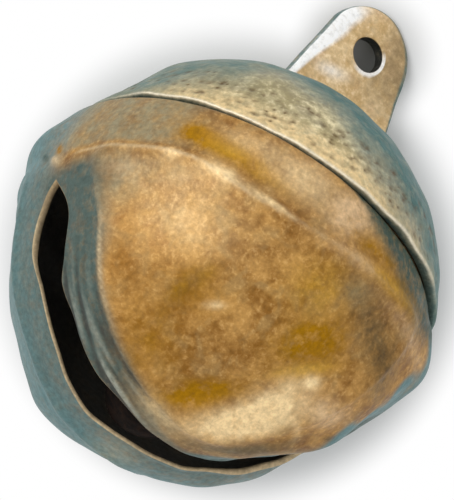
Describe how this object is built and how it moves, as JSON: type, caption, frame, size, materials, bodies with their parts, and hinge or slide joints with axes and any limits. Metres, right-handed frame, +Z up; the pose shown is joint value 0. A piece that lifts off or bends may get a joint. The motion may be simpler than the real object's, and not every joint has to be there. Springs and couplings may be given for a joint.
{
  "type": "sleigh bell",
  "caption": "Round sheet-bronze crotal bell in two lapped cups, with a sound slot across the mouth, a flat hanging tab with a hole and a loose iron pellet that rolls along the slot.",
  "frame": {"origin": "centre of the hole in the hanging tab, from which the bell hangs", "axes": "+Z up along the axis of the body, +X along the slot and across the tab, +Y along the hole through the tab"},
  "size_m": [0.044, 0.044, 0.0574],
  "materials": {
    "crown_bronze": "aged sheet bronze, mottled olive-grey and tan with pits and blue-green tarnish",
    "mouth_bronze": "aged sheet bronze, gold-brown where rubbed, mustard in the dents, blue-grey by the slot",
    "tab_bronze": "aged sheet bronze, pale tan, worn bright along one edge",
    "iron": "rough rusted iron",
    "solder": "dull grey soft solder"
  },
  "bodies": {
    "bell": {"crown_shell": "crown_bronze", "mouth_shell": "mouth_bronze", "hanging_tab": "tab_bronze", "seam_solder": "solder", "tab_solder": "solder"},
    "pellet": {"pellet": "iron"}
  },
  "joints": [
    {"name": "pellet_roll", "type": "hinge", "parent": "bell", "child": "pellet", "pos_m": [-0.0016, 0, -0.031], "axis": [0, 1, 0], "range_deg": [-15, 40]}
  ]
}
